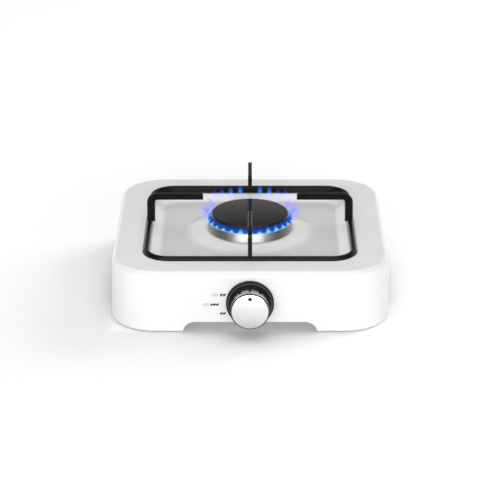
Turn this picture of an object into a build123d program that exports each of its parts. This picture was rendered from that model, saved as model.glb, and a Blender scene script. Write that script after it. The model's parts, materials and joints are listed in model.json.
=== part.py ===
import os
from math import cos, pi, sin, sqrt

from build123d import *

# Portable single-burner gas stove in millimetres, +Z up.
# The origin lies on the table under the burner and the knob looks along -Y.

# Body pressing
body_width = 300.0
body_depth = 280.0
body_corner_radius = 50.0
side_lean = 1.5  # each side comes in this far between the hem and the deck
sheet = 1.0
hem_height = 1.5
deck_height = 69.0
deck_edge_radius = 6.0
arch_foot_width = 143.0
arch_top_width = 117.0
arch_height = 10.5

# Pan frame and the ledge it lies on
frame_width = 230.0
frame_depth = 215.0
frame_corner_radius = 28.0
bar_width = 6.0
bar_height = 8.0
bar_edge_radius = 2.2
ledge_depth = 4.5
ledge_clearance = 0.5
ledge_lip = 1.0  # the ledge reaches this far inside the bar
ledge_edge_radius = 1.2

# Well and dome
well_depth = 6.0
well_wall_run = 12.0
floor_corner_radius = 17.0
mouth_edge_radius = 2.0
floor_edge_radius = 4.0
dome_base_radius = 72.5
dome_height = 5.0
dome_top_radius = 50.0
dome_foot_radius = 8.0
dome_brow_radius = 8.0
burner_hole_radius = 41.5
dome_brim = 6.0  # flat sheet kept outside the dome's foot
bead_radius = 2.6
bead_sink = 1.2
bead_inner_radius = 54.5
bead_inner_angle = 27.0  # degrees from the left or right towards the rear
bead_outer_angle = 10.0

# Pan fingers
finger_height = 32.0
finger_inset = 0.6
finger_post_width = 8.7
finger_arm_height = 7.5
finger_thickness = 4.5
finger_tip_radius = 52.0
finger_lip = 1.0
finger_heel_radius = 11.0
finger_crotch_radius = 3.0
finger_nose_radius = 2.5
finger_edge_chamfer = 0.6

# Burner
cup_bottom_height = 22.0
cup_foot_radius = 31.0
cup_radius = 40.0
cup_taper_height = 24.0
cup_wall = 3.0
cup_flange_radius = 46.5
cup_flange_thickness = 3.0
cup_rim_proud = 3.0
cup_port_radius = 12.0
cup_pillar_radius = 5.0
cup_pillar_height = 6.0
cup_pillar_spacing = 36.0
tube_radius = 9.5
tube_wall = 1.0
tube_seat = 12.0
# Shares of the way from the jet to the cup's side, the rest is the cup's port
air_gap_share = 0.13
tube_flare_share = 0.23
tube_bare_share = 0.30
tube_mouth_share = 0.5  # widening per length of the flare
crown_foot_radius = 47.2
crown_shoulder_radius = 46.6
crown_height = 10.6
crown_chamfer = 0.7
crown_skirt_wall = 3.2
crown_gap = 0.4
crown_seat_clearance = 0.3
spigot_length = 6.0
spigot_wall = 2.5
spigot_neck = 2.0
port_wall_radius = 42.6
port_wall = 3.6
port_height = 3.6
port_sill = 0.5
port_width = 2.6
port_count = 28
chamber_depth = 4.0
cap_radius = 43.0
cap_thickness = 3.4
cap_edge_radius = 1.6
cap_ring_wall = 2.6
cap_ring_depth = 3.0
cap_ring_clearance = 0.4

# Bridge under the burner
bridge_sheet = 1.5
bridge_width = 44.0
bridge_leg_spacing = 156.0
bridge_flange = 14.0
bridge_bend_radius = 4.0

# Feet and the gussets that hold them
gusset_height = 7.0
gusset_sheet = 1.5
gusset_reach = 46.0
gusset_lip_height = 10.0
gusset_clearance = 0.15
foot_inset = 27.0
foot_radius = 10.0
foot_chamfer = 1.0
foot_neck_radius = 5.0
foot_head_radius = 7.0
foot_head_height = 4.0
foot_fit = 0.1

# Tap, on an axis along Y
tap_height = 34.5
bracket_standoff = 14.0
bracket_sheet = 1.5
bracket_height = 22.0
bracket_web = 52.0
bracket_flange = 10.0
bracket_bend_radius = 3.0
nose_hole_clearance = 0.3
bonnet_thickness = 3.0
bonnet_nose_radius = 6.5
bonnet_nose_length = 8.0
bonnet_guide_length = 3.0
bonnet_cavity_radius = 5.4
tap_radius = 12.0
tap_length = 30.0
tap_flange = 6.0
ear_spacing = 34.0
ear_radius = 5.0
outlet_radius = 7.0
outlet_length = 6.0
outlet_bore_radius = 2.0
inlet_setback = 16.0
inlet_boss_radius = 5.5
inlet_boss_reach = 28.0
inlet_bore_radius = 3.0
plug_setback = 1.0
plug_length = 20.0
plug_front_radius = 7.4
plug_rear_radius = 5.4
plug_clearance = 0.06
plug_end_gap = 0.6
plug_port_radius = 2.2
slot_depth = 9.0
slot_clearance = 0.1
stem_radius = 3.0
stem_clearance = 0.06
stem_flat = 1.6
stem_flat_spare = 1.5
tang_width = 5.2
tang_thickness = 2.4
tang_engagement = 5.0
collar_radius = 5.0
collar_thickness = 1.8
collar_gap = 0.1
push_travel = 2.5
push_spare = 0.6
spring_wire_radius = 0.4
spring_coil_radius = 4.2
spring_turns = 3
spring_end_gap = 0.05
injector_bore_radius = 3.05
injector_shank_radius = 3.0
injector_shank_length = 5.0
injector_hex = 9.0
injector_hex_length = 4.0
injector_nose_radius = 3.2
injector_tip_radius = 1.8
injector_nose_length = 6.0
injector_feed_radius = 1.6
jet_radius = 0.4
jet_length = 1.5

# Knob and bezel
bezel_radius = 25.4
bezel_rim = 2.5
bezel_disc = 1.5
bezel_depth = 4.5
bezel_edge_radius = 1.2
bezel_hole_radius = 6.5
bezel_peg_radius = 1.8
bezel_peg_length = 2.5
bezel_peg_spacing = 30.0
peg_hole_clearance = 0.2
stem_hole_radius = 7.0
knob_gap = 1.0
knob_length = 19.0
knob_skirt_radius = 22.6
knob_skirt_length = 2.2
knob_skirt_chamfer = 1.0
knob_neck_radius = 20.3
knob_drum_radius = 19.5
knob_drum_wall = 2.0
knob_front_wall = 2.5
knob_hub_radius = 6.5
knob_rib_thickness = 1.6
knob_rib_count = 4
face_radius = 20.7
face_sheet = 1.0
face_side = 14.5
face_dome = 0.8
face_edge = 0.9
face_fit = 0.2
face_groove_count = 12
face_groove_width = 2.2
face_groove_depth = 0.7
face_groove_length = 9.5
dot_radius = 2.1
dot_offset = 14.3
dot_depth = 0.8
clip_thickness = 0.5
clip_width = 3.6
clip_length = 9.0
clip_tail = 2.5
clip_fit = 0.05

# Supply pipe and inlet
pipe_radius = 4.0
pipe_wall = 1.0
pipe_bend_radius = 18.0
pipe_offset = 62.0
pipe_fit = 0.05
pipe_nut_hex = 15.0
pipe_nut_length = 10.0
pipe_nut_cover = 6.0
inlet_thread_radius = 6.58
inlet_stub_length = 17.0
inlet_stub_chamfer = 1.0
inlet_hex = 19.0
inlet_hex_length = 7.0
inlet_shank_length = 18.0
inlet_passage_radius = 2.5
inlet_socket_depth = 10.0
inlet_hole_clearance = 0.3
inlet_fit = 0.05
washer_radius = 10.5
washer_thickness = 1.2
locknut_hex = 18.0
locknut_length = 5.5

# Screws
screw_radius = 2.0
screw_head_radius = 3.6
screw_head_height = 2.4
screw_hole_radius = 2.2
screw_fit = 0.05
cup_screw_length = 7.0
tap_screw_length = 9.5
screw_slot_width = 0.9
screw_slot_depth = 1.0

overrun = 2.0  # cuts run this far past the faces they open
pick = 0.01  # tolerance when a level is looked up

# Levels from the table
ledge_height = deck_height - ledge_depth
floor_height = ledge_height - well_depth
dome_top_height = floor_height + dome_height
floor_underside = floor_height - sheet
dome_underside = dome_top_height - sheet
bead_climb = dome_height * (dome_base_radius - bead_inner_radius) / (dome_base_radius - dome_top_radius)
frame_top_height = ledge_height + bar_height
finger_top_height = frame_top_height + finger_height
cup_rim_height = dome_top_height + cup_rim_proud
crown_foot_height = dome_top_height + crown_gap
crown_ledge_height = crown_foot_height + crown_height
port_sill_height = crown_ledge_height + port_sill
port_top_height = crown_ledge_height + port_height
cap_top_height = port_top_height + cap_thickness

# Stations along Y
front_y = -body_depth / 2
rear_y = body_depth / 2
skirt_inner_y = front_y + sheet
bracket_face_y = skirt_inner_y + bracket_standoff
bonnet_front_y = bracket_face_y + bracket_sheet
tap_front_y = bonnet_front_y + bonnet_thickness
tap_rear_y = tap_front_y + tap_length
outlet_end_y = tap_rear_y + outlet_length
injector_hex_end_y = outlet_end_y + injector_hex_length
injector_tip_y = injector_hex_end_y + injector_nose_length
jet_to_cup = -cup_radius - injector_tip_y
tube_flare_length = tube_flare_share * jet_to_cup
tube_mouth_radius = tube_radius + tube_mouth_share * tube_flare_length
tube_mouth_y = injector_tip_y + air_gap_share * jet_to_cup
flare_end_y = tube_mouth_y + tube_flare_length
port_end_y = flare_end_y + tube_bare_share * jet_to_cup
tube_end_y = port_end_y + tube_seat
nose_front_y = bonnet_front_y - bonnet_nose_length
nose_shoulder_y = nose_front_y + bonnet_guide_length
collar_front_y = nose_shoulder_y + collar_gap
collar_rear_y = collar_front_y + collar_thickness
plug_front_y = tap_front_y + plug_setback
plug_rear_y = plug_front_y + plug_length
stem_rear_y = plug_front_y - push_travel - push_spare
tang_end_y = plug_front_y + tang_engagement
inlet_y = tap_front_y + inlet_setback
bezel_face_y = front_y - bezel_disc
knob_rear_y = bezel_face_y - push_travel - knob_gap
knob_front_y = knob_rear_y - knob_length
face_rim_y = knob_front_y + face_dome
face_inner_y = face_rim_y + face_sheet
face_rear_y = face_rim_y + face_side
knob_body_front_y = face_inner_y + face_fit
hub_floor_y = knob_body_front_y + knob_front_wall
stem_front_y = hub_floor_y + clip_fit
inlet_hex_end_y = rear_y + inlet_hex_length
inlet_stub_end_y = inlet_hex_end_y + inlet_stub_length
inlet_shank_end_y = rear_y - inlet_shank_length
inlet_socket_end_y = inlet_shank_end_y + inlet_socket_depth
washer_face_y = rear_y - sheet - washer_thickness
locknut_face_y = washer_face_y - locknut_length

tap_axis = Axis((0, 0, tap_height), (0, 1, 0))
turning_plane = Plane.XY.offset(tap_height)  # half sections of the tap's round pieces
corners = {
    "front_left": (-1, -1),
    "front_right": (1, -1),
    "rear_left": (-1, 1),
    "rear_right": (1, 1),
}

os.makedirs("parts", exist_ok=True)


def save(piece, label):
    piece.part.label = label
    export_step(piece.part, f"parts/{label}.step")


def front_plane(y):
    # upright plane across the tap's axis, facing the front
    return Plane(origin=(0, y, tap_height), x_dir=(1, 0, 0), z_dir=(0, -1, 0))


def pipe_plane(y):
    # upright plane across the inlet's axis, facing the rear
    return Plane(origin=(pipe_offset, y, tap_height), x_dir=(-1, 0, 0), z_dir=(0, 1, 0))


def section(plane, points):
    # closed straight-sided face
    with BuildSketch(plane) as face:
        with BuildLine():
            Polyline(*points, close=True)
        make_face()
    return face.sketch


def bent_strip(plane, points, bend_radius, thickness):
    # section of a bent sheet along its middle line
    with BuildSketch(plane) as face:
        with BuildLine() as middle:
            FilletPolyline(*points, radius=bend_radius)
        trace(middle.line, thickness)
    return face.sketch


def edges_at(piece, height, width, depth):
    # edges on one level that lie inside a given plan size
    level = piece.edges().filter_by_position(Axis.Z, height - pick, height + pick)
    return [
        edge
        for edge in level
        if abs(edge.center().X) < width / 2 + pick and abs(edge.center().Y) < depth / 2 + pick
    ]


# Body: skirt and deck first, then the ledge, the well and the dome pressed into the deck
ledge_width = frame_width + 2 * ledge_clearance
ledge_length = frame_depth + 2 * ledge_clearance
ledge_corner_radius = frame_corner_radius + ledge_clearance
mouth_inset = bar_width + ledge_lip
mouth_width = frame_width - 2 * mouth_inset
mouth_length = frame_depth - 2 * mouth_inset
mouth_corner_radius = frame_corner_radius - mouth_inset
floor_width = mouth_width - 2 * well_wall_run
floor_length = mouth_length - 2 * well_wall_run

with BuildPart() as skirt_hollow:
    with BuildSketch(Plane.XY.offset(hem_height)):
        RectangleRounded(body_width - 2 * sheet, body_depth - 2 * sheet, body_corner_radius - sheet)
    with BuildSketch(Plane.XY.offset(deck_height - sheet)):
        RectangleRounded(
            body_width - 2 * (side_lean + sheet), body_depth - 2 * sheet, body_corner_radius - sheet
        )
    loft()
    fillet(skirt_hollow.edges().group_by(Axis.Z)[-1], deck_edge_radius - sheet)

with BuildPart() as body_shell:
    with BuildSketch(Plane.XY.offset(hem_height)):
        RectangleRounded(body_width, body_depth, body_corner_radius)
    with BuildSketch(Plane.XY.offset(deck_height)):
        RectangleRounded(body_width - 2 * side_lean, body_depth, body_corner_radius)
    loft()
    fillet(body_shell.edges().group_by(Axis.Z)[-1], deck_edge_radius)
    add(skirt_hollow.part, mode=Mode.SUBTRACT)
    # underside of the ledge and of the well
    with BuildSketch(Plane.XY.offset(deck_height - sheet)):
        RectangleRounded(ledge_width + 2 * sheet, ledge_length + 2 * sheet, ledge_corner_radius + sheet)
    extrude(amount=-ledge_depth)
    with BuildSketch(Plane.XY.offset(ledge_height - sheet)):
        RectangleRounded(mouth_width + 2 * sheet, mouth_length + 2 * sheet, mouth_corner_radius + sheet)
    with BuildSketch(Plane.XY.offset(floor_underside)):
        RectangleRounded(floor_width + 2 * sheet, floor_length + 2 * sheet, floor_corner_radius + sheet)
    loft()
    # top of the ledge and of the well
    with BuildSketch(Plane.XY.offset(deck_height)):
        RectangleRounded(ledge_width, ledge_length, ledge_corner_radius)
    extrude(amount=-ledge_depth, mode=Mode.SUBTRACT)
    with BuildSketch(Plane.XY.offset(ledge_height)):
        RectangleRounded(mouth_width, mouth_length, mouth_corner_radius)
    with BuildSketch(Plane.XY.offset(floor_height)):
        RectangleRounded(floor_width, floor_length, floor_corner_radius)
    loft(mode=Mode.SUBTRACT)
    fillet(edges_at(body_shell, deck_height, ledge_width, ledge_length), ledge_edge_radius)
    fillet(edges_at(body_shell, ledge_height, mouth_width, mouth_length), mouth_edge_radius)
    fillet(edges_at(body_shell, floor_height, floor_width, floor_length), floor_edge_radius)
    # dome with its open collar
    with BuildSketch(Plane.XY.offset(floor_height)):
        Circle(dome_base_radius + dome_brim)
    extrude(amount=-sheet, mode=Mode.SUBTRACT)
    middle_level = floor_height - sheet / 2
    revolve(
        bent_strip(
            Plane.XZ,
            [
                (dome_base_radius + dome_brim, middle_level),
                (dome_base_radius, middle_level),
                (dome_top_radius, middle_level + dome_height),
                (burner_hole_radius, middle_level + dome_height),
            ],
            [dome_foot_radius, dome_brow_radius],
            sheet,
        ),
        axis=Axis.Z,
    )
    # two stiffening beads up the dome's flanks
    for side_x in (-1, 1):
        bead_start, bead_end = (
            Vector(side_x * radius, 0, floor_height + climb).rotate(Axis.Z, side_x * angle)
            for radius, angle, climb in (
                (dome_base_radius, bead_outer_angle, 0),
                (bead_inner_radius, bead_inner_angle, bead_climb),
            )
        )
        bead_run = bead_end - bead_start
        across = bead_run.cross(Vector(0, 0, 1))
        for skin, bead_mode in ((0, Mode.ADD), (sheet, Mode.SUBTRACT)):
            with BuildSketch(Plane(origin=bead_start, x_dir=across, z_dir=bead_run)):
                with Locations((0, -bead_sink)):
                    Circle(bead_radius - skin)
                    Rectangle(
                        2 * bead_radius, bead_radius, align=(Align.CENTER, Align.MAX), mode=Mode.SUBTRACT
                    )
            extrude(amount=bead_run.length, mode=bead_mode)
    # arches in the four walls
    for wall_plane, wall_span in ((Plane.XZ, body_depth), (Plane.YZ, body_width)):
        with BuildSketch(wall_plane):
            with BuildLine():
                arch_top = hem_height + arch_height
                Line((-arch_foot_width / 2, hem_height), (arch_foot_width / 2, hem_height))
                TangentArc(
                    (arch_top_width / 2, arch_top), (arch_foot_width / 2, hem_height), tangent=(1, 0)
                )
                Line((-arch_top_width / 2, arch_top), (arch_top_width / 2, arch_top))
                TangentArc(
                    (-arch_top_width / 2, arch_top), (-arch_foot_width / 2, hem_height), tangent=(-1, 0)
                )
            make_face()
        extrude(amount=wall_span / 2 + overrun, both=True, mode=Mode.SUBTRACT)
    # openings for the stem, the bezel's pegs and the inlet
    with BuildSketch(front_plane(front_y)):
        Circle(stem_hole_radius)
        with GridLocations(0, bezel_peg_spacing, 1, 2):
            Circle(bezel_peg_radius + peg_hole_clearance)
    extrude(amount=-(sheet + overrun), mode=Mode.SUBTRACT)
    with BuildSketch(pipe_plane(rear_y)):
        Circle(inlet_thread_radius + inlet_hole_clearance)
    extrude(amount=-(sheet + overrun), mode=Mode.SUBTRACT)
save(body_shell, "body_shell")

# Corner gussets inside the skirt, each with a hole for its foot
gusset_top = gusset_height + gusset_lip_height
lean_at_gusset = side_lean * (gusset_top - hem_height) / (deck_height - hem_height)
gusset_half_width = body_width / 2 - sheet - lean_at_gusset - gusset_clearance
gusset_half_depth = body_depth / 2 - sheet - gusset_clearance
gusset_corner_radius = body_corner_radius - sheet - gusset_clearance
for corner, (side_x, side_y) in corners.items():
    with BuildPart() as gusset:
        corner_middle = (
            side_x * (gusset_half_width - gusset_reach / 2),
            side_y * (gusset_half_depth - gusset_reach / 2),
        )
        foot_x = side_x * (gusset_half_width - foot_inset)
        foot_y = side_y * (gusset_half_depth - foot_inset)
        with BuildSketch(Plane.XY.offset(gusset_height)):
            RectangleRounded(2 * gusset_half_width, 2 * gusset_half_depth, gusset_corner_radius)
            with Locations(corner_middle):
                Rectangle(gusset_reach, gusset_reach, mode=Mode.INTERSECT)
            with Locations((foot_x, foot_y)):
                Circle(foot_neck_radius + foot_fit, mode=Mode.SUBTRACT)
        extrude(amount=gusset_sheet)
        with BuildSketch(Plane.XY.offset(gusset_height)):
            RectangleRounded(2 * gusset_half_width, 2 * gusset_half_depth, gusset_corner_radius)
            RectangleRounded(
                2 * (gusset_half_width - gusset_sheet),
                2 * (gusset_half_depth - gusset_sheet),
                gusset_corner_radius - gusset_sheet,
                mode=Mode.SUBTRACT,
            )
            with Locations(corner_middle):
                Rectangle(gusset_reach, gusset_reach, mode=Mode.INTERSECT)
        extrude(amount=gusset_lip_height)
    save(gusset, f"corner_gusset_{corner}")

    with BuildPart() as foot:
        head_base = gusset_height + gusset_sheet + foot_fit
        foot_plane = Plane(origin=(foot_x, foot_y, 0), x_dir=(1, 0, 0), z_dir=(0, -1, 0))
        foot_section = section(
            foot_plane,
            [
                (0, 0),
                (foot_radius - foot_chamfer, 0),
                (foot_radius, foot_chamfer),
                (foot_radius, gusset_height - foot_fit),
                (foot_neck_radius, gusset_height - foot_fit),
                (foot_neck_radius, head_base),
                (foot_head_radius, head_base),
                (foot_neck_radius, head_base + foot_head_height),
                (0, head_base + foot_head_height),
            ],
        )
        revolve(foot_section, axis=Axis((foot_x, foot_y, 0), (0, 0, 1)))
    save(foot, f"foot_{corner}")

# Pan frame, a flat loop with rounded edges
with BuildPart() as pan_frame:
    with BuildSketch(Plane.XY.offset(ledge_height)):
        RectangleRounded(frame_width, frame_depth, frame_corner_radius)
        RectangleRounded(
            frame_width - 2 * bar_width,
            frame_depth - 2 * bar_width,
            frame_corner_radius - bar_width,
            mode=Mode.SUBTRACT,
        )
    extrude(amount=bar_height)
    fillet(
        pan_frame.edges().group_by(Axis.Z)[0] + pan_frame.edges().group_by(Axis.Z)[-1],
        bar_edge_radius,
    )
save(pan_frame, "pan_frame")

# Four L-shaped fingers, each hooked over the middle of a side of the frame
fingers = {
    "front": ((0, -1), frame_depth),
    "rear": ((0, 1), frame_depth),
    "left": ((-1, 0), frame_width),
    "right": ((1, 0), frame_width),
}
for side, ((out_x, out_y), frame_span) in fingers.items():
    heel = frame_span / 2 - finger_inset
    post_inner = heel - finger_post_width
    bar_inner = frame_span / 2 - bar_width
    arm_underside = finger_top_height - finger_arm_height
    with BuildPart() as finger:
        outward = Plane(origin=(0, 0, 0), x_dir=(out_x, out_y, 0), z_dir=(out_y, -out_x, 0))
        with BuildSketch(outward):
            with BuildLine():
                FilletPolyline(
                    (heel, frame_top_height),
                    (heel, finger_top_height),
                    (finger_tip_radius, finger_top_height),
                    (finger_tip_radius, arm_underside),
                    (post_inner, arm_underside),
                    (post_inner, frame_top_height - finger_lip),
                    (bar_inner, frame_top_height - finger_lip),
                    (bar_inner, frame_top_height),
                    radius=[0, finger_heel_radius, finger_nose_radius, 0, finger_crotch_radius, 0, 0, 0],
                    close=True,
                )
            make_face()
        extrude(amount=finger_thickness / 2, both=True)
        cheeks = finger.faces().filter_by(Axis((0, 0, 0), (out_y, -out_x, 0)))
        outline = [edge for edge in cheeks.edges() if edge.center().Z > frame_top_height + pick]
        chamfer(outline, finger_edge_chamfer)
    save(finger, f"finger_{side}")

# Burner cup: turned bowl with a port for the mixing tube and two screw pillars
with BuildPart() as burner_cup:
    taper_top = cup_bottom_height + cup_taper_height
    flange_base = dome_underside - cup_flange_thickness
    cup_floor = cup_bottom_height + cup_wall
    cup_outside = [
        (0, cup_bottom_height),
        (cup_foot_radius, cup_bottom_height),
        (cup_radius, taper_top),
        (cup_radius, flange_base),
        (cup_flange_radius, flange_base),
        (cup_flange_radius, dome_underside),
        (cup_radius, dome_underside),
        (cup_radius, cup_rim_height),
        (0, cup_rim_height),
    ]
    revolve(section(Plane.XZ, cup_outside), axis=Axis.Z)
    with BuildSketch(front_plane(0)):
        Circle(cup_port_radius)
    extrude(amount=-port_end_y)
    cup_inside = [
        (0, cup_floor),
        (cup_foot_radius - cup_wall, cup_floor),
        (cup_radius - cup_wall, taper_top),
        (cup_radius - cup_wall, cup_rim_height + overrun),
        (0, cup_rim_height + overrun),
    ]
    revolve(section(Plane.XZ, cup_inside), axis=Axis.Z, mode=Mode.SUBTRACT)
    with BuildSketch(front_plane(0)):
        Circle(tube_radius + pipe_fit)
    extrude(amount=overrun - port_end_y, mode=Mode.SUBTRACT)
    with BuildSketch(Plane.XY.offset(cup_bottom_height)):
        with GridLocations(cup_pillar_spacing, 0, 2, 1):
            Circle(cup_pillar_radius)
    extrude(amount=cup_wall + cup_pillar_height)
    with BuildSketch(Plane.XY.offset(cup_bottom_height)):
        with GridLocations(cup_pillar_spacing, 0, 2, 1):
            Circle(screw_radius + screw_fit)
    extrude(amount=cup_screw_length, mode=Mode.SUBTRACT)
save(burner_cup, "burner_cup")

# Mixing tube with a flared mouth towards the jet
with BuildPart() as mixing_tube:
    tube_inner = tube_radius - tube_wall
    mouth_inner = tube_mouth_radius - tube_wall
    with BuildSketch(turning_plane):
        with BuildLine():
            Polyline((tube_radius, flare_end_y), (tube_radius, tube_end_y), (tube_inner, tube_end_y))
            Line((tube_inner, tube_end_y), (tube_inner, flare_end_y))
            TangentArc((tube_inner, flare_end_y), (mouth_inner, tube_mouth_y), tangent=(0, -1))
            Line((mouth_inner, tube_mouth_y), (tube_mouth_radius, tube_mouth_y))
            TangentArc((tube_radius, flare_end_y), (tube_mouth_radius, tube_mouth_y), tangent=(0, -1))
        make_face()
    revolve(axis=tap_axis)
save(mixing_tube, "mixing_tube")

# Flame crown: turned ring with a spigot in the cup and slots round the top
with BuildPart() as burner_crown:
    spigot_radius = cup_radius - cup_wall - crown_seat_clearance
    bore_radius = spigot_radius - spigot_wall
    skirt_inner = crown_foot_radius - crown_skirt_wall
    spigot_foot = cup_rim_height - spigot_length
    chamber_radius = port_wall_radius - port_wall
    chamber_floor = port_sill_height - chamber_depth
    crown_section = [
        (bore_radius, spigot_foot),
        (spigot_radius, spigot_foot),
        (spigot_radius, cup_rim_height),
        (skirt_inner, cup_rim_height),
        (skirt_inner, crown_foot_height),
        (crown_foot_radius, crown_foot_height),
        (crown_shoulder_radius, crown_ledge_height - crown_chamfer),
        (crown_shoulder_radius - crown_chamfer, crown_ledge_height),
        (port_wall_radius, crown_ledge_height),
        (port_wall_radius, port_top_height),
        (chamber_radius, port_top_height),
        (chamber_radius, chamber_floor),
        (bore_radius, chamber_floor - spigot_neck),
    ]
    revolve(section(Plane.XZ, crown_section), axis=Axis.Z)
    with BuildSketch(Plane.XY.offset(port_sill_height)):
        with PolarLocations(port_wall_radius - port_wall / 2, port_count):
            Rectangle(port_wall + overrun, port_width)
    extrude(amount=port_height, mode=Mode.SUBTRACT)
save(burner_crown, "burner_crown")

# Cap with a locating ring inside the crown
with BuildPart() as burner_cap:
    ring_outer = chamber_radius - cap_ring_clearance
    ring_inner = ring_outer - cap_ring_wall
    ring_foot = port_top_height - cap_ring_depth
    cap_section = [
        (0, port_top_height),
        (ring_inner, port_top_height),
        (ring_inner, ring_foot),
        (ring_outer, ring_foot),
        (ring_outer, port_top_height),
        (cap_radius, port_top_height),
        (cap_radius, cap_top_height),
        (0, cap_top_height),
    ]
    revolve(section(Plane.XZ, cap_section), axis=Axis.Z)
    fillet(burner_cap.edges().group_by(Axis.Z)[-1], cap_edge_radius)
save(burner_cap, "burner_cap")

# Bridge under the well that carries the cup
with BuildPart() as burner_bridge:
    web_level = cup_bottom_height - bridge_sheet / 2
    flange_level = floor_underside - bridge_sheet / 2
    leg_x = bridge_leg_spacing / 2
    bridge_section = bent_strip(
        Plane.XZ,
        [
            (-leg_x - bridge_flange, flange_level),
            (-leg_x, flange_level),
            (-leg_x, web_level),
            (leg_x, web_level),
            (leg_x, flange_level),
            (leg_x + bridge_flange, flange_level),
        ],
        bridge_bend_radius,
        bridge_sheet,
    )
    extrude(bridge_section, amount=bridge_width / 2, both=True)
    with BuildSketch(Plane.XY.offset(cup_bottom_height)):
        with GridLocations(cup_pillar_spacing, 0, 2, 1):
            Circle(screw_hole_radius)
    extrude(amount=-(bridge_sheet + overrun), mode=Mode.SUBTRACT)
save(burner_bridge, "burner_bridge")

with BuildPart() as cup_screws:
    head_top = cup_bottom_height - bridge_sheet
    with BuildSketch(Plane.XY.offset(head_top)):
        with GridLocations(cup_pillar_spacing, 0, 2, 1):
            Circle(screw_head_radius)
    extrude(amount=-screw_head_height)
    with BuildSketch(Plane.XY.offset(head_top)):
        with GridLocations(cup_pillar_spacing, 0, 2, 1):
            Circle(screw_radius)
    extrude(amount=cup_screw_length)
    with BuildSketch(Plane.XY.offset(head_top - screw_head_height)):
        with GridLocations(cup_pillar_spacing, 0, 2, 1):
            Rectangle(2 * screw_head_radius, screw_slot_width)
    extrude(amount=screw_slot_depth, mode=Mode.SUBTRACT)
save(cup_screws, "cup_screws")

# Tap bracket behind the front skirt
with BuildPart() as tap_bracket:
    plate_level = bracket_face_y + bracket_sheet / 2
    weld_level = skirt_inner_y + bracket_sheet / 2
    half_web = bracket_web / 2
    bracket_section = bent_strip(
        Plane.XY.offset(tap_height),
        [
            (-half_web - bracket_flange, weld_level),
            (-half_web, weld_level),
            (-half_web, plate_level),
            (half_web, plate_level),
            (half_web, weld_level),
            (half_web + bracket_flange, weld_level),
        ],
        bracket_bend_radius,
        bracket_sheet,
    )
    extrude(bracket_section, amount=bracket_height / 2, both=True)
    with BuildSketch(front_plane(bonnet_front_y)):
        Circle(bonnet_nose_radius + nose_hole_clearance)
        with GridLocations(ear_spacing, 0, 2, 1):
            Circle(screw_hole_radius)
    extrude(amount=bracket_sheet + overrun, mode=Mode.SUBTRACT)
save(tap_bracket, "tap_bracket")

# Tap body with an eared flange, a tapered seat for the plug and its gas passages
plug_slope = (plug_front_radius - plug_rear_radius) / plug_length
with BuildPart() as tap_body:
    with BuildSketch(front_plane(tap_front_y)):
        Circle(tap_radius)
        with GridLocations(ear_spacing, 0, 2, 1):
            Circle(ear_radius)
        make_hull()
    extrude(amount=-tap_flange)
    with BuildSketch(front_plane(tap_front_y)):
        Circle(tap_radius)
    extrude(amount=-tap_length)
    with BuildSketch(front_plane(tap_rear_y)):
        Circle(outlet_radius)
    extrude(amount=-outlet_length)
    with BuildSketch(Plane(origin=(0, inlet_y, tap_height), z_dir=(1, 0, 0))):
        Circle(inlet_boss_radius)
    extrude(amount=inlet_boss_reach)
    seat_end_y = plug_rear_y + plug_end_gap
    seat_section = [
        (0, tap_front_y),
        (plug_front_radius + plug_setback * plug_slope + plug_clearance, tap_front_y),
        (plug_rear_radius - plug_end_gap * plug_slope + plug_clearance, seat_end_y),
        (0, seat_end_y),
    ]
    revolve(section(turning_plane, seat_section), axis=tap_axis, mode=Mode.SUBTRACT)
    with BuildSketch(Plane(origin=(0, inlet_y, tap_height), z_dir=(1, 0, 0))):
        Circle(inlet_bore_radius)
    extrude(amount=inlet_boss_reach + overrun, mode=Mode.SUBTRACT)
    with BuildSketch(front_plane(outlet_end_y)):
        Circle(outlet_bore_radius)
    extrude(amount=outlet_end_y - plug_rear_y, mode=Mode.SUBTRACT)
    with BuildSketch(front_plane(outlet_end_y)):
        Circle(injector_bore_radius)
    extrude(amount=injector_shank_length, mode=Mode.SUBTRACT)
    with BuildSketch(front_plane(tap_front_y)):
        with GridLocations(ear_spacing, 0, 2, 1):
            Circle(screw_radius + screw_fit)
    extrude(amount=-tap_flange, mode=Mode.SUBTRACT)
save(tap_body, "tap_body")

# Bonnet with a nose that guides the stem
with BuildPart() as tap_bonnet:
    with BuildSketch(front_plane(tap_front_y)):
        Circle(tap_radius)
        with GridLocations(ear_spacing, 0, 2, 1):
            Circle(ear_radius)
        make_hull()
    extrude(amount=bonnet_thickness)
    with BuildSketch(front_plane(bonnet_front_y)):
        Circle(bonnet_nose_radius)
    extrude(amount=bonnet_nose_length)
    cavity_section = [
        (0, nose_front_y - overrun),
        (stem_radius + stem_clearance, nose_front_y - overrun),
        (stem_radius + stem_clearance, nose_shoulder_y),
        (bonnet_cavity_radius, nose_shoulder_y),
        (bonnet_cavity_radius, tap_front_y + overrun),
        (0, tap_front_y + overrun),
    ]
    revolve(section(turning_plane, cavity_section), axis=tap_axis, mode=Mode.SUBTRACT)
    with BuildSketch(front_plane(tap_front_y)):
        with GridLocations(ear_spacing, 0, 2, 1):
            Circle(screw_hole_radius)
    extrude(amount=bonnet_thickness, mode=Mode.SUBTRACT)
save(tap_bonnet, "tap_bonnet")

with BuildPart() as tap_screws:
    with BuildSketch(front_plane(bracket_face_y)):
        with GridLocations(ear_spacing, 0, 2, 1):
            Circle(screw_head_radius)
    extrude(amount=screw_head_height)
    with BuildSketch(front_plane(bracket_face_y)):
        with GridLocations(ear_spacing, 0, 2, 1):
            Circle(screw_radius)
    extrude(amount=-tap_screw_length)
    with BuildSketch(front_plane(bracket_face_y - screw_head_height)):
        with GridLocations(ear_spacing, 0, 2, 1):
            Rectangle(2 * screw_head_radius, screw_slot_width)
    extrude(amount=-screw_slot_depth, mode=Mode.SUBTRACT)
save(tap_screws, "tap_screws")

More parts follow.
